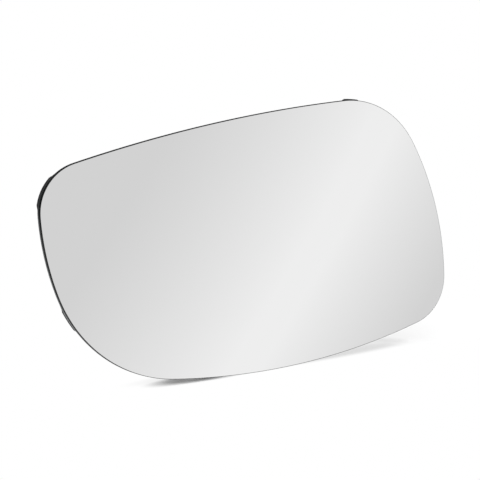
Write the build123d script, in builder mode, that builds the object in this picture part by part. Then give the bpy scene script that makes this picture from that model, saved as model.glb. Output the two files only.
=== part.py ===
from build123d import *
import os
from math import cos, hypot, radians, sin, sqrt

# A convex glass for a left-hand door mirror, bonded to the moulded plate that snaps onto the mirror's drive.
# Millimetres. +Z is up, +X points to the car and -X to the outer end, and the mirror looks along -Y.
# The origin is on the axis of the convex face, where the seat ring's straight wall ends at its lead-in.

# Sharp corners of the pane's outline, measured from its middle
outer_top_reach = 87.1
outer_top_rise = 40.3
inner_top_reach = 68.2
inner_top_rise = 49.0
inner_bottom_reach = 86.9
inner_bottom_drop = 42.0
outer_bottom_reach = 69.2
outer_bottom_drop = 40.6

# Height of each side's arc over the straight line between its corners
top_bulge = 5.0
inner_bulge = 9.4
bottom_bulge = 10.0
outer_bulge = 8.7

# Rounding of the corners
outer_top_radius = 19.5
inner_top_radius = 35.5
inner_bottom_radius = 19.0
outer_bottom_radius = 55.5

# The layers, from the reflecting face backwards
face_radius = 1300.0
glass_thickness = 2.0
glass_arris = 0.2
pad_thickness = 0.6
pad_inset = 2.0
skin_thickness = 1.6
skin_inset = 0.6
skin_edge_break = 0.4

# Low lugs on the plate's rim, which centre the pane for bonding, and a short tab that stands past its edge
lug_length = 16.0
lug_width = 9.0
lug_crown = 0.5
lug_inset = 0.2
tab_length = 11.0
tab_proud = 0.4

# Stiffening ribs on the plate's back
rib_inset = 6.0
rib_thickness = 1.5
rib_height = 2.5
gusset_run = 22.0
gusset_drop = 1.2

# Seat ring that the drive's round carrier plugs into
seat_radius = 30.0
seat_wall = 2.0
seat_depth = 7.0
seat_lead_in = 0.6
keyway_width = 8.0
keyway_depth = 5.0

# Snap hooks that hold the carrier's flange down on the ring
flange_overhang = 2.0
flange_thickness = 2.4
flange_clearance = 0.2
hook_width = 9.0
hook_thickness = 1.8
hook_root_radius = 1.2
barb_depth = 1.2
barb_land = 0.6
barb_lead_in = 2.0
window_clearance = 0.3

# Places of the lugs and the tab, as shares of each side from its first corner, clockwise from the front
outer_side_lugs = (0.31, 0.945)
inner_side_lugs = (0.55,)
bottom_side_lugs = (0.24, 0.72)
top_side_tabs = (0.905,)

# Directions around the seat, in degrees from +X towards +Z
hook_angles = (0, 90, 180, 270)
rib_angles = (30, 60, 120, 150, 210, 240, 300, 330)
keyway_angle = 45

pad_front = glass_thickness
skin_front = pad_front + pad_thickness
skin_back = skin_front + skin_thickness
rib_back = skin_back + rib_height
face_depth = skin_back + seat_depth
face_centre = (0, face_radius - face_depth, 0)
seat_outer_radius = seat_radius + seat_wall
seat_rim = seat_lead_in
hook_radius = seat_outer_radius + flange_overhang + flange_clearance

outer_top = (-outer_top_reach, outer_top_rise)
inner_top = (inner_top_reach, inner_top_rise)
inner_bottom = (inner_bottom_reach, -inner_bottom_drop)
outer_bottom = (-outer_bottom_reach, -outer_bottom_drop)
outer_side = SagittaArc(outer_bottom, outer_top, outer_bulge)
top_side = SagittaArc(outer_top, inner_top, top_bulge)
inner_side = SagittaArc(inner_top, inner_bottom, inner_bulge)
bottom_side = SagittaArc(inner_bottom, outer_bottom, bottom_bulge)
sides = (outer_side, top_side, inner_side, bottom_side)
corner_radii = (outer_bottom_radius, outer_top_radius, inner_top_radius, inner_bottom_radius)
outline_reach = max(hypot(*corner) for corner in (outer_top, inner_top, inner_bottom, outer_bottom))


def layer_y(depth, reach):
    """Y of the curved layer that lies this deep behind the face, at a distance from the axis."""
    layer_radius = face_radius - depth
    return depth - face_depth + layer_radius - sqrt(layer_radius**2 - reach**2)


def inside_skin(reach):
    """Y of the middle of the plate's skin, where everything that stands on it is rooted."""
    return layer_y(skin_front + skin_thickness / 2, reach)


def inset_corner(before, after, inset):
    """Where a corner's two sides meet when both are drawn inwards: the near crossing of their circles."""
    between = after.arc_center - before.arc_center
    before_radius = before.radius - inset
    after_radius = after.radius - inset
    along = (before_radius**2 - after_radius**2 + between.length**2) / (2 * between.length)
    across = sqrt(before_radius**2 - along**2)
    foot = before.arc_center + between.normalized() * along
    sideways = between.normalized().rotate(Axis.Z, 90) * across
    return min(foot + sideways, foot - sideways, key=lambda point: (point - before @ 1).length)


def pane_outline(inset):
    """The pane's outline drawn inwards by the inset: its four arcs between their new corners, rounded."""
    ends = [inset_corner(sides[i - 1], side, inset) for i, side in enumerate(sides)]
    with BuildSketch(mode=Mode.PRIVATE) as outline:
        with BuildLine():
            for side, start, end in zip(sides, ends, ends[1:] + ends[:1]):
                inset_radius = side.radius - inset
                half_chord = (end - start).length / 2
                SagittaArc(start, end, inset_radius - sqrt(inset_radius**2 - half_chord**2))
        make_face()
        for end, radius in zip(ends, corner_radii):
            fillet(outline.vertices().sort_by_distance(end)[0], radius - inset)
    return outline.sketch


def rim_swellings(places, length, proud):
    """Plan of swellings on the rim: ellipses along the arc next to each place, cut off this proud of it."""
    rim = pane_outline(0).edges()
    with BuildSketch(mode=Mode.PRIVATE) as swellings:
        for side, shares in places:
            for share in shares:
                arc = rim.sort_by_distance(side @ share)[0]
                outwards = (side @ share - arc.arc_center).normalized()
                middle = arc.arc_center + outwards * (arc.radius + proud + lug_crown - lug_width / 2)
                with Locations(Plane(middle, x_dir=outwards)):
                    Ellipse(lug_width / 2, length / 2)
        add(pane_outline(-proud), mode=Mode.INTERSECT)
    return swellings.sketch


def curved_layer(plan, front, back):
    """A plan in X and Z made solid between two depths behind the convex face."""
    block_back = layer_y(back, outline_reach) + glass_thickness
    with BuildPart(mode=Mode.PRIVATE) as layer:
        with BuildSketch(Plane.XZ.offset(-block_back)):
            add(plan)
        extrude(amount=block_back + face_depth + glass_thickness)
        with Locations(face_centre):
            Sphere(face_radius - front, mode=Mode.INTERSECT)
            Sphere(face_radius - back, mode=Mode.SUBTRACT)
    return layer.part


def radial_plane(angle):
    """A plane through the axis: its x runs outwards at the angle and its y runs backwards."""
    across = radians(angle)
    return Plane((0, 0, 0), x_dir=(cos(across), 0, sin(across)), z_dir=(-sin(across), 0, cos(across)))


# The pane: bent glass with its sharp front edge ground round
pane = curved_layer(pane_outline(0), 0, pad_front)
with BuildPart() as mirror_glass:
    add(pane)
    front_face = mirror_glass.faces().filter_by(GeomType.SPHERE).sort_by(Axis.Y)[0]
    fillet(front_face.edges(), glass_arris)
mirror_glass.part.label = "mirror_glass"

# The foam sheet that bonds the pane to its plate
foam_sheet = curved_layer(pane_outline(pad_inset), pad_front, skin_front)
with BuildPart() as adhesive_pad:
    add(foam_sheet)
adhesive_pad.part.label = "adhesive_pad"

# Plans of the lugs, which end just inside the pane's edge, and of the tab
lug_plan = rim_swellings(
    ((outer_side, outer_side_lugs), (inner_side, inner_side_lugs), (bottom_side, bottom_side_lugs)),
    lug_length,
    -lug_inset,
)
tab_plan = rim_swellings(((top_side, top_side_tabs),), tab_length, tab_proud)

# Plans of the ribs: a band that runs round inside the rim, and spokes that join it to the seat
with BuildSketch() as band_plan:
    add(pane_outline(rib_inset))
    add(pane_outline(rib_inset + rib_thickness), mode=Mode.SUBTRACT)
with BuildSketch() as spoke_plan:
    for angle in rib_angles:
        with Locations(Location((0, 0, 0), (0, 0, angle))):
            Rectangle(outline_reach, rib_thickness, align=(Align.MIN, Align.CENTER))
    Circle(seat_outer_radius - seat_wall / 2, mode=Mode.SUBTRACT)
    add(pane_outline(rib_inset + rib_thickness / 2), mode=Mode.INTERSECT)

# Gussets where the spokes meet the seat ring, ending inside the band
gusset_start = seat_outer_radius - seat_wall / 2
gusset_end = seat_outer_radius + gusset_run
with BuildPart() as gussets:
    for angle in rib_angles:
        with BuildSketch(radial_plane(angle)):
            with BuildLine():
                Polyline(
                    (gusset_start, inside_skin(gusset_start)),
                    (gusset_start, seat_rim - gusset_drop),
                    (seat_outer_radius, seat_rim - gusset_drop),
                    (gusset_end, layer_y(rib_back, gusset_end)),
                    (gusset_end, inside_skin(gusset_end)),
                    close=True,
                )
            make_face()
        extrude(amount=rib_thickness / 2, both=True)
    with BuildSketch(Plane.XZ.offset(-seat_rim)):
        add(pane_outline(rib_inset + rib_thickness / 2))
    extrude(amount=seat_rim + face_depth, mode=Mode.INTERSECT)

# The plate: skin, ribs, seat ring and hooks in one moulding
plate_skin = curved_layer(pane_outline(skin_inset), skin_front, skin_back)
plate_lugs = curved_layer(lug_plan, skin_front, skin_back)
plate_tab = curved_layer(tab_plan, skin_front, skin_back)
plate_band = curved_layer(band_plan.sketch, skin_front, rib_back)
plate_spokes = curved_layer(spoke_plan.sketch, skin_front, rib_back)
with BuildPart() as backing_plate:
    add(plate_skin)
    rear_face = backing_plate.faces().filter_by(GeomType.SPHERE).sort_by(Axis.Y)[-1]
    chamfer(rear_face.edges(), skin_edge_break)
    add(plate_lugs)
    add(plate_tab)
    add(plate_band)
    add(plate_spokes)
    add(gussets.part)

    # Seat ring, with a lead-in at its mouth
    with BuildSketch(Plane.XY):
        with BuildLine():
            Polyline(
                (seat_radius, inside_skin(seat_radius)),
                (seat_radius, 0),
                (seat_radius + seat_lead_in, seat_rim),
                (seat_outer_radius, seat_rim),
                (seat_outer_radius, inside_skin(seat_outer_radius)),
                close=True,
            )
        make_face()
    revolve(axis=Axis.Y)

    # Snap hooks, each over a window that lets its barb be moulded
    flange_top = seat_rim + flange_thickness + flange_clearance
    barb_radius = hook_radius - barb_depth
    barb_tip = flange_top + barb_land + barb_lead_in
    hook_back_radius = hook_radius + hook_thickness
    foot_radius = hook_back_radius + 2 * hook_root_radius
    foot_top = layer_y(skin_back, hook_back_radius)
    for angle in hook_angles:
        with BuildSketch(radial_plane(angle)) as hook:
            with BuildLine():
                Polyline(
                    (hook_radius, inside_skin(hook_radius)),
                    (hook_radius, flange_top),
                    (barb_radius, flange_top),
                    (barb_radius, flange_top + barb_land),
                    (hook_radius, barb_tip),
                    (hook_back_radius, barb_tip),
                    (hook_back_radius, foot_top),
                    (foot_radius, foot_top),
                    (foot_radius, inside_skin(foot_radius)),
                    close=True,
                )
            make_face()
            fillet(hook.vertices().sort_by_distance((hook_back_radius, foot_top, 0))[0], hook_root_radius)
        extrude(amount=hook_width / 2, both=True)
        with BuildSketch(radial_plane(angle)):
            with BuildLine():
                Polyline(
                    (barb_radius - window_clearance, -face_depth),
                    (barb_radius - window_clearance, foot_top + skin_thickness),
                    (hook_radius, foot_top + skin_thickness),
                    (hook_radius, -face_depth),
                    close=True,
                )
            make_face()
        extrude(amount=hook_width / 2, both=True, mode=Mode.SUBTRACT)

    # Keyway that sets the carrier's turn
    with BuildSketch(radial_plane(keyway_angle)):
        with Locations((seat_radius + seat_wall / 2, seat_rim)):
            Rectangle(2 * seat_wall, 2 * keyway_depth)
    extrude(amount=keyway_width / 2, both=True, mode=Mode.SUBTRACT)
backing_plate.part.label = "backing_plate"

os.makedirs("parts", exist_ok=True)
export_step(mirror_glass.part, "parts/mirror_glass.step")
export_step(adhesive_pad.part, "parts/adhesive_pad.step")
export_step(backing_plate.part, "parts/backing_plate.step")
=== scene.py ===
"""Dresses a convex door mirror glass: the silvered pane, its foam sheet and the moulded plate behind it."""

from math import cos, pi, radians, sin

import bmesh
import bpy
import numpy as np
from mathutils import Matrix, Vector


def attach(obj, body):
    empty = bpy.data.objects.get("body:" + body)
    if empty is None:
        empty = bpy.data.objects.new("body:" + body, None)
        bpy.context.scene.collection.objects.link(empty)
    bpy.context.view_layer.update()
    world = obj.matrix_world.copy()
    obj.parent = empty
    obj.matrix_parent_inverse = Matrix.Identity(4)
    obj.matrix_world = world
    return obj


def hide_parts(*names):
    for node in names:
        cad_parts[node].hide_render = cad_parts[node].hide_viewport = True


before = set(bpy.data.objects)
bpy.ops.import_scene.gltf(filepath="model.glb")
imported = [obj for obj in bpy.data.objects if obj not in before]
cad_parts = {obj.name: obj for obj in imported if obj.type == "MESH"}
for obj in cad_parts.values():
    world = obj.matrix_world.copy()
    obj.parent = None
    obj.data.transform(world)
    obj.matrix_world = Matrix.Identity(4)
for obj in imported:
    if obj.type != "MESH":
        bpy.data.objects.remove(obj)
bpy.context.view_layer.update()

# Sizes are in millimetres, with x to the car, z up and the mirror looking along -y, as the frame has them.
MM = 0.001

# Sharp corners of the pane's outline, as the part's source has them, anticlockwise as seen from the front,
# each with its rounding and with the height of the arc that leads from it to the next corner.
OUTLINE_CORNERS = np.array([(-69.2, -40.6), (86.9, -42.0), (68.2, 49.0), (-87.1, 40.3)])
CORNER_RADII = np.array([55.5, 19.0, 35.5, 19.5])
SIDE_BULGES = np.array([10.0, 9.4, 5.0, 8.7])

# The layers, measured backwards from the convex face, whose apex lies at FACE_FRONT on y.
FACE_RADIUS = 1300.0
FACE_FRONT = -11.2
GLASS_THICKNESS = 2.0
GLASS_ARRIS = 0.2
BACK_ARRIS = 0.1
COAT_SPILL = 0.5
PAD_THICKNESS = 0.6
PAD_INSET = 2.0
PAD_SQUEEZE = 0.12

# The plate: how near corners of its loose triangles are merged, how round its edges are and in what steps.
MERGE_DISTANCE = 0.002
MOULD_ROUND = 0.18
MOULD_ROUND_STEPS = 2

# Faces that turn by this much or more meet in an edge: it is shaded sharp, and on the plate it is rounded.
EDGE_TURN = radians(35)

# How finely the new surfaces are divided.
RIM_STEPS = 480
FACE_RINGS = 48
BACK_RINGS = 16
ARRIS_STEPS = 5
EDGE_STEPS = 4

# The patterns of the finishes: how large their marks are, and how deep.
HAZE_WIDTH = 25.0
STREAK_LENGTH = 8.0
STREAK_WIDTH = 0.3
STREAK_DEPTH = 0.05
PATCH_WIDTH = 3.0
PEEL_WIDTH = 1.2
PEEL_DEPTH = 0.05
CELL_WIDTH = 0.5
CELL_DEPTH = 0.2
GRAIN_WIDTH = 0.45
GRAIN_DEPTH = 0.08
FLOW_WIDTH = 18.0

# The view: how far the camera has gone round to the outer end, how high it stands over the ground that
# the glass rests on, how far the glass leans back there and is turned in its own plane, and what the camera
# looks at, measured from the face's apex.
VIEW_TURN = radians(29.89)
VIEW_RISE = radians(13.594)
GLASS_LEAN = radians(7.315)
GLASS_TURN = radians(2.7)
VIEW_DISTANCE = 1000.0
VIEW_TARGET = (-6.649, 0.0, 2.696)
LENS = 191.5
SENSOR = 36.0

# The tall soft lights that the mirror shows: the direction across them, where one begins and how far on the
# next one does, how their edges run, and how bright the gaps between them and they themselves are.
STRIP_ACROSS = (0.628, 0.449, -0.636)
STRIP_START = radians(-7.4)
STRIP_SPACING = radians(36.0)
STRIP_RISE = radians(10.4)
STRIP_RISE_BEND = 1.2
STRIP_FALL_START = radians(12.05)
STRIP_FALL_END = radians(19.0)
STRIP_DIM = 0.726
STRIP_BRIGHT = 0.963

# The room behind the object as what shines sees it: the heights, from -1 straight down to 1 straight up, at
# which the floor ends, the wall begins, the wall ends and the light overhead begins, and how bright floor,
# wall and light are. ROOM_BEGINS is how far back a ray has to point to meet nothing but that room.
ROOM_HEIGHTS = (-0.8, 0.2, 0.45, 0.8)
ROOM_LEVELS = (0.85, 0.05, 0.9)
ROOM_BEGINS = 0.6

# The even light on all that doesn't shine, and the two lamps: place, width and power.
SOFT_LEVEL = 0.45
KEY_LAMP = ((900, -240, 760), 500, 12.0)
REAR_LAMP = ((-700, 900, 380), 500, 6.5)

# The floor: how wide, how finely divided, and the soft ovals where it keeps its shade: their middle on the
# ground, their half axes, from which share of those the shade fades, and how much of it shows.
FLOOR_RADIUS = 2500.0
FLOOR_STEPS = 64
SHADES = (
    ((-26.0, -10.6), (27.0, 7.6), 0.36, 1.0),
    ((20.0, -6.4), (82.0, 10.0), 0.5, 0.39),
    ((103.0, 11.6), (60.0, 30.0), 0.63, 1.0),
)

# The ground as the frame has it: its columns run to the car and backwards along it, and straight out of it.
GROUND = Matrix.Rotation(GLASS_LEAN, 3, "X") @ Matrix.Rotation(GLASS_TURN, 3, "Y")


def srgb(code):
    """The linear colour of an sRGB hex code: c / 12.92 up to 0.04045, ((c + 0.055) / 1.055) ^ 2.4 above."""
    channels = np.array([int(code[i : i + 2], 16) for i in (0, 2, 4)]) / 255
    linear = np.where(channels <= 0.04045, channels / 12.92, ((channels + 0.055) / 1.055) ** 2.4)
    return (*linear.tolist(), 1.0)


def per_metre(width):
    """The scale of a pattern with marks of this many millimetres: how many of them make a metre."""
    return 1 / (width * MM)


def add_node(tree, kind, inputs=None, stops=(), **settings):
    """Adds one node with its settings and its colour stops, each a (place, code), and gives its outputs.

    An input that is given a socket is linked to it, any other is set."""
    made = tree.nodes.new(kind)
    for name, value in settings.items():
        setattr(made, name, value)
    for i, (place, code) in enumerate(stops):
        stop = made.color_ramp.elements[i] if i < 2 else made.color_ramp.elements.new(place)
        stop.position, stop.color = place, srgb(code)
    for name, value in (inputs or {}).items():
        if isinstance(value, bpy.types.NodeSocket):
            tree.links.new(value, made.inputs[name])
        else:
            made.inputs[name].default_value = value
    return made.outputs


def new_material(name):
    """An empty material, its node tree, and the object coordinates that its patterns read."""
    material = bpy.data.materials.new(name)
    material.use_nodes = True
    tree = material.node_tree
    tree.nodes.clear()
    return material, tree, add_node(tree, "ShaderNodeTexCoord")["Object"]


def add_object(name, data):
    """An object with this data, linked into the scene."""
    made = bpy.data.objects.new(name, data)
    bpy.context.scene.collection.objects.link(made)
    return made


def finished_piece(name, mesh, materials):
    """A piece of the mirror in these finishes, shaded smooth but for its edges."""
    mesh.materials.clear()
    for material in materials:
        mesh.materials.append(material)
    mesh.shade_smooth()
    mesh.set_sharp_from_angle(angle=EDGE_TURN)
    return add_object(name, mesh)


def outline_arcs():
    """Centres, radii and first outward directions of the outline's eight arcs, each corner before its side.

    A side of chord c and bulge b has the radius (c^2 / 4 + b^2) / 2b, with its centre on the normal through
    the chord's middle. A corner of radius r is tangent inside both its sides, so its centre lies at
    (side radius - r) from each of theirs: it is where those two circles cross, on the corner's side."""
    ends = np.roll(OUTLINE_CORNERS, -1, axis=0)
    chords = ends - OUTLINE_CORNERS
    lengths = np.linalg.norm(chords, axis=1)
    outwards = np.stack([chords[:, 1], -chords[:, 0]], axis=1) / lengths[:, None]
    side_radii = (lengths**2 / 4 + SIDE_BULGES**2) / (2 * SIDE_BULGES)
    side_centres = (OUTLINE_CORNERS + ends) / 2 - outwards * (side_radii - SIDE_BULGES)[:, None]

    before_centres = np.roll(side_centres, 1, axis=0)
    before_reach = np.roll(side_radii, 1) - CORNER_RADII
    after_reach = side_radii - CORNER_RADII
    between = side_centres - before_centres
    apart = np.linalg.norm(between, axis=1)
    along = between / apart[:, None]
    across = np.stack([-along[:, 1], along[:, 0]], axis=1)
    foot = (before_reach**2 - after_reach**2 + apart**2) / (2 * apart)
    height = np.sqrt(before_reach**2 - foot**2)
    height *= np.sign(((OUTLINE_CORNERS - before_centres) * across).sum(axis=1))
    corner_centres = before_centres + along * foot[:, None] + across * height[:, None]

    centres = np.stack([corner_centres, side_centres], axis=1).reshape(-1, 2)
    radii = np.stack([CORNER_RADII, side_radii], axis=1).reshape(-1)
    starts = np.stack([corner_centres - before_centres, corner_centres - side_centres], axis=1)
    turns = np.unwrap(np.arctan2(starts[..., 1], starts[..., 0]).reshape(-1))
    return centres, radii, np.append(turns, turns[0] + 2 * pi)


ARC_CENTRES, ARC_RADII, ARC_TURNS = outline_arcs()
ARC_STARTS = np.concatenate([[0], np.cumsum(ARC_RADII * np.diff(ARC_TURNS))])


def outline(insets):
    """The outline drawn inwards by each inset, as an array of (insets, RIM_STEPS, 2).

    A point is its arc's centre plus (radius - inset) times the outward direction, which turns evenly along
    an arc, so the directions at even steps of length are read off the lengths at which the arcs begin."""
    length = np.linspace(0, ARC_STARTS[-1], RIM_STEPS, endpoint=False)
    turn = np.interp(length, ARC_STARTS, ARC_TURNS)
    arc = np.searchsorted(ARC_STARTS, length, side="right") - 1
    outwards = np.stack([np.cos(turn), np.sin(turn)], axis=1)
    radii = ARC_RADII[arc] - np.reshape(insets, (-1, 1))
    return ARC_CENTRES[arc] + radii[..., None] * outwards


def layer_y(depth, reach):
    """Where a layer lies on y, this deep behind the face and this far from the axis.

    All layers are spheres about one centre: y = front + R - sqrt((R - depth)^2 - reach^2)."""
    return FACE_FRONT + FACE_RADIUS - np.sqrt((FACE_RADIUS - depth) ** 2 - reach**2)


def ring_shares(count):
    """How far out the rings of a face lie, as shares of the way from its middle to its rim.

    They are 1 - (1 - t)^2 for even steps of t, so they are closest at the rim, and the smooth shading of a
    face stays true right up to its edge."""
    return 1 - (1 - np.linspace(1 / count, 1, count)) ** 2


def layered_shell(name, shares, insets, depths, bands, materials):
    """A closed shell of rings about the axis, from the middle of its front to the middle of its back.

    Ring i is the outline drawn inwards by its inset and shrunk to its share, lying at its depth behind the
    face. Quads join neighbouring rings, and a fan of triangles closes each end. bands gives the material of
    the strip before each ring and of the last fan."""
    plan = outline(insets) * np.reshape(shares, (-1, 1, 1))
    y = layer_y(np.reshape(depths, (-1, 1)), np.linalg.norm(plan, axis=2))
    rings = np.stack([plan[..., 0], y, plan[..., 1]], axis=2)
    poles = [(0, layer_y(depths[end], 0), 0) for end in (0, -1)]
    points = np.concatenate([rings.reshape(-1, 3), poles]) * MM

    count, steps = y.shape
    here = np.arange(steps)
    ahead = np.roll(here, -1)
    row = np.arange(count - 1)[:, None] * steps
    next_row = row + steps
    quads = np.stack([row + here, next_row + here, next_row + ahead, row + ahead], axis=2).reshape(-1, 4)
    last_row = (count - 1) * steps
    front_fan = np.stack([np.full(steps, count * steps), here, ahead], axis=1)
    back_fan = np.stack([np.full(steps, count * steps + 1), last_row + ahead, last_row + here], axis=1)

    mesh = bpy.data.meshes.new(name)
    mesh.from_pydata(points.tolist(), [], front_fan.tolist() + quads.tolist() + back_fan.tolist())
    made = finished_piece(name, mesh, materials)
    mesh.polygons.foreach_set("material_index", np.repeat(bands, steps).astype(np.int32))
    return made


def mirror_coat():
    """Chromium on bent glass, polished: a bright and neutral mirror with hardly any haze in it."""
    material, tree, place = new_material("chromed_glass")
    haze = add_node(
        tree, "ShaderNodeTexNoise", {"Vector": place, "Scale": per_metre(HAZE_WIDTH), "Detail": 2.0}
    )
    rough = add_node(tree, "ShaderNodeMapRange", {"Value": haze["Fac"], "To Min": 0.010, "To Max": 0.028})
    shader = add_node(
        tree,
        "ShaderNodeBsdfPrincipled",
        {"Base Color": srgb("F2F2F2"), "Metallic": 1.0, "Roughness": rough["Result"]},
    )
    add_node(tree, "ShaderNodeOutputMaterial", {"Surface": shader["BSDF"]})
    return material


def ground_edge():
    """Glass edge ground on a wheel, with streaks along it. Its near black colour is painted shade, standing
    for the coat behind that leaves the edge no light.

    The streaks of such a wheel are finer than a tenth of a millimetre. They are drawn coarser, so that
    they show from near by."""
    material, tree, place = new_material("ground_glass_edge")
    along = add_node(
        tree,
        "ShaderNodeMapping",
        {
            "Vector": place,
            "Scale": (per_metre(STREAK_LENGTH), per_metre(STREAK_WIDTH), per_metre(STREAK_LENGTH)),
        },
    )
    streaks = add_node(
        tree, "ShaderNodeTexNoise", {"Vector": along["Vector"], "Scale": 1.0, "Detail": 3.0}
    )
    # Painted shade: the edge's near black tone stands for the light the coat behind keeps from it, and the
    # streaks vary it.
    tone = add_node(
        tree, "ShaderNodeValToRGB", {"Fac": streaks["Fac"]}, stops=((0.35, "0A0C0C"), (0.65, "171B1C"))
    )
    bump = add_node(
        tree, "ShaderNodeBump", {"Height": streaks["Fac"], "Strength": 0.25, "Distance": STREAK_DEPTH * MM}
    )
    shader = add_node(
        tree,
        "ShaderNodeBsdfPrincipled",
        {
            "Base Color": tone["Color"],
            "Roughness": 0.36,
            "IOR": 1.52,
            "Specular IOR Level": 0.2,
            "Normal": bump["Normal"],
        },
    )
    add_node(tree, "ShaderNodeOutputMaterial", {"Surface": shader["BSDF"]})
    return material


def spilled_coat():
    """Chromium that ran over the rear of the ground edge: a dull grey metal line of uneven shade."""
    material, tree, place = new_material("spilled_chromium")
    patches = add_node(
        tree, "ShaderNodeTexNoise", {"Vector": place, "Scale": per_metre(PATCH_WIDTH), "Detail": 3.0}
    )
    tone = add_node(
        tree, "ShaderNodeValToRGB", {"Fac": patches["Fac"]}, stops=((0.3, "C4C8C9"), (0.7, "D4D8D9"))
    )
    rough = add_node(tree, "ShaderNodeMapRange", {"Value": patches["Fac"], "To Min": 0.20, "To Max": 0.32})
    shader = add_node(
        tree,
        "ShaderNodeBsdfPrincipled",
        {"Base Color": tone["Color"], "Metallic": 1.0, "Roughness": rough["Result"]},
    )
    add_node(tree, "ShaderNodeOutputMaterial", {"Surface": shader["BSDF"]})
    return material


def back_paint():
    """Grey lacquer over the coat on the back of the glass: flat, with a faint orange peel."""
    material, tree, place = new_material("grey_back_lacquer")
    peel = add_node(
        tree, "ShaderNodeTexNoise", {"Vector": place, "Scale": per_metre(PEEL_WIDTH), "Detail": 1.0}
    )
    tone = add_node(
        tree, "ShaderNodeValToRGB", {"Fac": peel["Fac"]}, stops=((0.3, "565B5D"), (0.7, "63686A"))
    )
    bump = add_node(
        tree, "ShaderNodeBump", {"Height": peel["Fac"], "Strength": 0.2, "Distance": PEEL_DEPTH * MM}
    )
    shader = add_node(
        tree,
        "ShaderNodeBsdfPrincipled",
        {"Base Color": tone["Color"], "Roughness": 0.5, "Normal": bump["Normal"]},
    )
    add_node(tree, "ShaderNodeOutputMaterial", {"Surface": shader["BSDF"]})
    return material


def black_foam():
    """Closed-cell foam, cut through at its edge: black and dull, with open cells half a millimetre wide,
    each painted darker towards its hollow as shade.
    """
    material, tree, place = new_material("black_cell_foam")
    cells = add_node(tree, "ShaderNodeTexVoronoi", {"Vector": place, "Scale": per_metre(CELL_WIDTH)})
    # Painted shade: each open cell turns darker towards its hollow, where its bump sinks.
    tone = add_node(
        tree, "ShaderNodeValToRGB", {"Fac": cells["Distance"]}, stops=((0.0, "0C0C0C"), (1.0, "262626"))
    )
    bump = add_node(
        tree, "ShaderNodeBump", {"Height": cells["Distance"], "Strength": 0.6, "Distance": CELL_DEPTH * MM}
    )
    shader = add_node(
        tree,
        "ShaderNodeBsdfPrincipled",
        {
            "Base Color": tone["Color"],
            "Roughness": 0.95,
            "Specular IOR Level": 0.2,
            "Normal": bump["Normal"],
        },
    )
    add_node(tree, "ShaderNodeOutputMaterial", {"Surface": shader["BSDF"]})
    return material


def black_moulding():
    """Black ABS moulded in a spark-eroded tool: near black, with an even grain that breaks up its shine.

    The grain of such a tool is about 0.1 mm wide. It is drawn coarser, as fine as still shows."""
    material, tree, place = new_material("grained_black_abs")
    grain = add_node(
        tree, "ShaderNodeTexNoise", {"Vector": place, "Scale": per_metre(GRAIN_WIDTH), "Detail": 3.0}
    )
    flow = add_node(
        tree, "ShaderNodeTexNoise", {"Vector": place, "Scale": per_metre(FLOW_WIDTH), "Detail": 2.0}
    )
    tone = add_node(
        tree, "ShaderNodeValToRGB", {"Fac": flow["Fac"]}, stops=((0.3, "28282A"), (0.7, "323234"))
    )
    rough = add_node(tree, "ShaderNodeMapRange", {"Value": flow["Fac"], "To Min": 0.40, "To Max": 0.54})
    bump = add_node(
        tree, "ShaderNodeBump", {"Height": grain["Fac"], "Strength": 0.4, "Distance": GRAIN_DEPTH * MM}
    )
    shader = add_node(
        tree,
        "ShaderNodeBsdfPrincipled",
        {
            "Base Color": tone["Color"],
            "Roughness": rough["Result"],
            "IOR": 1.54,
            "Specular IOR Level": 0.3,
            "Normal": bump["Normal"],
        },
    )
    add_node(tree, "ShaderNodeOutputMaterial", {"Surface": shader["BSDF"]})
    return material


def mirror_pane():
    """The pane: its face, a quarter round over the arris, the ground edge, a smaller round, and the back.

    Round the arris the inset is arris (1 - sin a) and the depth arris (1 - cos a), for a from 0 to a
    quarter turn. Round the back arris the inset is arris (1 - cos a), and the depth is the thickness less
    arris (1 - sin a). The coat on the back runs over the last stretch of the edge."""
    quarter = np.linspace(0, pi / 2, ARRIS_STEPS + 1)[1:]
    face = ring_shares(FACE_RINGS)
    back = ring_shares(BACK_RINGS)[::-1]
    spill_start, edge_end = GLASS_THICKNESS - COAT_SPILL, GLASS_THICKNESS - BACK_ARRIS
    ground = np.linspace(GLASS_ARRIS, spill_start, EDGE_STEPS + 1)[1:]
    spilled = np.linspace(spill_start, edge_end, EDGE_STEPS + 1)[1:]
    insets = np.concatenate(
        [
            np.full(face.size, GLASS_ARRIS),
            GLASS_ARRIS * (1 - np.sin(quarter)),
            np.zeros(2 * EDGE_STEPS),
            BACK_ARRIS * (1 - np.cos(quarter)),
            np.full(back.size - 1, BACK_ARRIS),
        ]
    )
    depths = np.concatenate(
        [
            np.zeros(face.size),
            GLASS_ARRIS * (1 - np.cos(quarter)),
            ground,
            spilled,
            GLASS_THICKNESS - BACK_ARRIS * (1 - np.sin(quarter)),
            np.full(back.size - 1, GLASS_THICKNESS),
        ]
    )
    side_rings = ARRIS_STEPS + EDGE_STEPS
    shares = np.concatenate([face, np.ones(2 * side_rings), back[1:]])
    bands = np.repeat([0, 1, 2, 3], [face.size, side_rings, side_rings, back.size])
    materials = [mirror_coat(), ground_edge(), spilled_coat(), back_paint()]
    return layered_shell("mirror_pane", shares, insets, depths, bands, materials)


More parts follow.
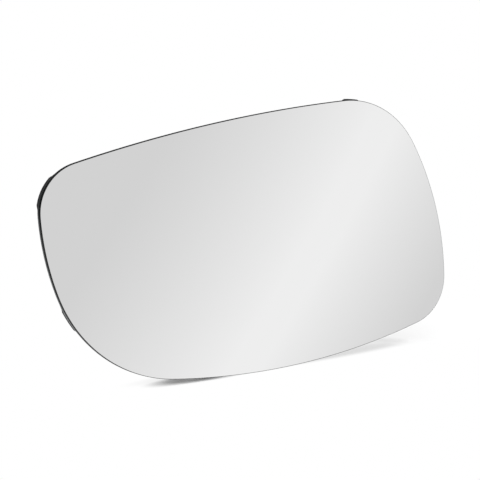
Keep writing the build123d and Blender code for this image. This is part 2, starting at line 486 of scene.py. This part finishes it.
def foam_sheet():
    """The die-cut foam between pane and plate.

    Its edge is squeezed out in a half round: for a from 0 to a half turn, the inset is less by
    squeeze sin a, and the depth goes on by thickness (1 - cos a) / 2."""
    half = np.linspace(0, pi, 2 * ARRIS_STEPS + 1)[1:]
    face = ring_shares(BACK_RINGS)
    insets = np.concatenate(
        [
            np.full(face.size, PAD_INSET),
            PAD_INSET - PAD_SQUEEZE * np.sin(half),
            np.full(face.size - 1, PAD_INSET),
        ]
    )
    depths = np.concatenate(
        [
            np.full(face.size, GLASS_THICKNESS),
            GLASS_THICKNESS + PAD_THICKNESS * (1 - np.cos(half)) / 2,
            np.full(face.size - 1, GLASS_THICKNESS + PAD_THICKNESS),
        ]
    )
    shares = np.concatenate([face, np.ones(half.size), face[-2::-1]])
    bands = np.zeros(shares.size + 1, int)
    return layered_shell("foam_sheet", shares, insets, depths, bands, [black_foam()])


def moulded_plate():
    """A copy of the plate's mesh, merged into one skin, with its edges rounded as a tool leaves them."""
    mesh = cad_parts["backing_plate"].data.copy()
    mesh.name = "moulded_plate"
    skin = bmesh.new()
    skin.from_mesh(mesh)
    bmesh.ops.remove_doubles(skin, verts=skin.verts, dist=MERGE_DISTANCE * MM)
    skin.to_mesh(mesh)
    skin.free()
    made = finished_piece("moulded_plate", mesh, [black_moulding()])
    rounded = made.modifiers.new("rounded_edges", "BEVEL")
    rounded.width, rounded.segments = MOULD_ROUND * MM, MOULD_ROUND_STEPS
    rounded.limit_method, rounded.angle_limit = "ANGLE", EDGE_TURN
    rounded.use_clamp_overlap = False
    rounded.harden_normals = True
    return made


def row_of_lights(tree, ray):
    """How bright the row of tall soft lights in front of the object is along a ray.

    The angle across the row, asin(ray . STRIP_ACROSS) - STRIP_START, is wrapped to one light and the gap
    beside it. A light brightens over a wide edge, as a power of the angle, and fades over a narrow one."""
    across = add_node(tree, "ShaderNodeVectorMath", {0: ray, 1: STRIP_ACROSS}, operation="DOT_PRODUCT")
    angle = add_node(tree, "ShaderNodeMath", {0: across["Value"]}, operation="ARCSINE")
    shifted = add_node(tree, "ShaderNodeMath", {0: angle["Value"], 1: STRIP_START}, operation="SUBTRACT")
    within = add_node(
        tree, "ShaderNodeMath", {0: shifted["Value"], 1: STRIP_SPACING, 2: 0.0}, operation="WRAP"
    )
    straight_rise = add_node(tree, "ShaderNodeMapRange", {"Value": within["Value"], "From Max": STRIP_RISE})
    rise = add_node(
        tree, "ShaderNodeMath", {0: straight_rise["Result"], 1: STRIP_RISE_BEND}, operation="POWER"
    )
    fall = add_node(
        tree,
        "ShaderNodeMapRange",
        {
            "Value": within["Value"],
            "From Min": STRIP_FALL_START,
            "From Max": STRIP_FALL_END,
            "To Min": 1.0,
            "To Max": 0.0,
        },
    )
    lit = add_node(tree, "ShaderNodeMath", {0: rise["Value"], 1: fall["Result"]}, operation="MULTIPLY")
    level = add_node(
        tree, "ShaderNodeMapRange", {"Value": lit["Value"], "To Min": STRIP_DIM, "To Max": STRIP_BRIGHT}
    )
    return level["Result"]


def room_behind(tree, height):
    """How bright the room behind the object is along a ray of this height.

    The floor gives way to the wall, and higher up the wall to the light overhead."""
    floor_end, wall_start, wall_end, light_start = ROOM_HEIGHTS
    floor_level, wall_level, light_level = ROOM_LEVELS
    below = add_node(
        tree,
        "ShaderNodeMapRange",
        {
            "Value": height,
            "From Min": floor_end,
            "From Max": wall_start,
            "To Min": floor_level,
            "To Max": wall_level,
        },
        interpolation_type="SMOOTHSTEP",
    )
    above = add_node(
        tree,
        "ShaderNodeMapRange",
        {
            "Value": height,
            "From Min": wall_end,
            "From Max": light_start,
            "To Min": wall_level,
            "To Max": light_level,
        },
        interpolation_type="SMOOTHSTEP",
    )
    level = add_node(
        tree, "ShaderNodeMath", {0: below["Result"], 1: above["Result"]}, operation="MAXIMUM"
    )
    return level["Value"]


def studio_world():
    """Plain soft light all round and white behind the object.

    What shines shows a row of tall soft lights in front of the object, and the dimmer room behind it."""
    world = bpy.data.worlds.new("studio")
    bpy.context.scene.world = world
    world.use_nodes = True
    tree = world.node_tree
    tree.nodes.clear()
    path = add_node(tree, "ShaderNodeLightPath")
    ray = add_node(tree, "ShaderNodeTexCoord")["Generated"]
    along = add_node(tree, "ShaderNodeSeparateXYZ", {"Vector": ray})
    backwards = add_node(
        tree,
        "ShaderNodeMapRange",
        {"Value": along["Y"], "From Max": ROOM_BEGINS},
        interpolation_type="SMOOTHSTEP",
    )
    room = add_node(
        tree,
        "ShaderNodeMix",
        {"Factor": backwards["Result"], "A": row_of_lights(tree, ray), "B": room_behind(tree, along["Z"])},
    )

    # What each kind of ray meets: white for the camera, the room for what shines, else the even light.
    shiny = add_node(
        tree,
        "ShaderNodeMath",
        {0: path["Is Glossy Ray"], 1: path["Is Transmission Ray"]},
        operation="MAXIMUM",
    )
    level = add_node(
        tree, "ShaderNodeMix", {"Factor": shiny["Value"], "A": SOFT_LEVEL, "B": room["Result"]}
    )
    seen = add_node(
        tree, "ShaderNodeMix", {"Factor": path["Is Camera Ray"], "A": level["Result"], "B": 1.0}
    )
    light = add_node(tree, "ShaderNodeBackground", {"Color": srgb("FFFFFF"), "Strength": seen["Result"]})
    add_node(tree, "ShaderNodeOutputWorld", {"Surface": light["Background"]})


def photo_camera():
    """A long lens at the photograph's angle.

    The ground is level there, so the view is turned and raised over the ground, and then brought into the
    frame with it."""
    towards = Vector((-sin(VIEW_TURN) * cos(VIEW_RISE), -cos(VIEW_TURN) * cos(VIEW_RISE), sin(VIEW_RISE)))
    turned = GROUND @ towards.to_track_quat("Z", "Y").to_matrix()
    target = Vector(VIEW_TARGET) + Vector((0, FACE_FRONT, 0))
    place = target + turned.col[2] * VIEW_DISTANCE
    lens = bpy.data.cameras.new("camera")
    lens.lens, lens.sensor_width = LENS, SENSOR
    camera = add_object("camera", lens)
    camera.matrix_world = Matrix.Translation(place * MM) @ turned.to_4x4()
    bpy.context.scene.camera = camera


def lowest_level(piece):
    """How far out along the ground's normal a piece begins, in metres.

    It is the least dot product of the piece's points with that normal."""
    points = np.empty(3 * len(piece.data.vertices), np.float32)
    piece.data.vertices.foreach_get("co", points)
    return float((points.reshape(-1, 3) @ np.array(GROUND.col[2])).min())


def floor_paper(level):
    """White paper lying on the ground at this level: matt, with the soft shade of what stands on it.

    To the camera it glows white, but for the ovals where its shade shows. They fade out from a share of
    their half axes to their edge. From below it is clear, so that it never hides the object."""
    material, tree, place = new_material("white_floor")
    path = add_node(tree, "ShaderNodeLightPath")
    shade = 0.0
    for (x, y), (half_x, half_y), core, most in SHADES:
        oval = add_node(
            tree,
            "ShaderNodeMapping",
            {
                "Vector": place,
                "Location": GROUND @ Vector((x * MM, y * MM, level)),
                "Rotation": GROUND.to_euler(),
                "Scale": (half_x * MM, half_y * MM, 1.0),
            },
            vector_type="TEXTURE",
        )
        axes_out = add_node(tree, "ShaderNodeVectorMath", {0: oval["Vector"]}, operation="LENGTH")
        shown = add_node(
            tree,
            "ShaderNodeMapRange",
            {"Value": axes_out["Value"], "From Min": core, "From Max": 1.0, "To Min": most, "To Max": 0.0},
            interpolation_type="SMOOTHSTEP",
        )
        deeper = add_node(tree, "ShaderNodeMath", {0: shown["Result"], 1: shade}, operation="MAXIMUM")
        shade = deeper["Value"]
    white = add_node(tree, "ShaderNodeMath", {0: 1.0, 1: shade}, operation="SUBTRACT")
    share = add_node(
        tree, "ShaderNodeMath", {0: white["Value"], 1: path["Is Camera Ray"]}, operation="MULTIPLY"
    )
    paper = add_node(tree, "ShaderNodeBsdfDiffuse", {"Color": srgb("F4F4F4")})
    glow = add_node(tree, "ShaderNodeEmission", {"Color": srgb("FFFFFF"), "Strength": 1.0})
    mixed = add_node(
        tree, "ShaderNodeMixShader", {0: share["Value"], 1: paper["BSDF"], 2: glow["Emission"]}
    )
    below = add_node(tree, "ShaderNodeNewGeometry")["Backfacing"]
    clear = add_node(tree, "ShaderNodeBsdfTransparent")
    one_sided = add_node(tree, "ShaderNodeMixShader", {0: below, 1: mixed["Shader"], 2: clear["BSDF"]})
    add_node(tree, "ShaderNodeOutputMaterial", {"Surface": one_sided["Shader"]})
    return material


def pale_floor(pieces):
    """A plain white disc on the ground, under the object's lowest point. It isn't seen in what shines."""
    level = min(lowest_level(piece) for piece in pieces)
    turns = np.linspace(0, 2 * pi, FLOOR_STEPS, endpoint=False)
    reach = FLOOR_RADIUS * MM
    rim = np.stack([reach * np.cos(turns), reach * np.sin(turns), np.full(FLOOR_STEPS, level)], axis=1)
    mesh = bpy.data.meshes.new("floor")
    mesh.from_pydata((rim @ np.array(GROUND).T).tolist(), [], [list(range(FLOOR_STEPS))])
    mesh.materials.append(floor_paper(level))
    floor = add_object("floor", mesh)
    floor.visible_glossy = False


def soft_lamp(name, place, size, power):
    """A large soft lamp at a place in millimetres, turned to the object. It isn't seen in what shines."""
    lamp = bpy.data.lights.new(name, "AREA")
    lamp.shape, lamp.size, lamp.energy = "DISK", size * MM, power
    turned = Vector(place).to_track_quat("Z", "Y").to_matrix()
    made = add_object(name, lamp)
    made.matrix_world = Matrix.Translation(Vector(place) * MM) @ turned.to_4x4()
    made.visible_glossy = False


pane = mirror_pane()
foam = foam_sheet()
plate = moulded_plate()
for piece, node in ((pane, "mirror_glass"), (foam, "adhesive_pad"), (plate, "backing_plate")):
    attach(piece, "root")
    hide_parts(node)

studio_world()
pale_floor((pane, foam, plate))
soft_lamp("key", *KEY_LAMP)
soft_lamp("rear", *REAR_LAMP)
photo_camera()
bpy.context.scene.view_settings.view_transform = "Standard"
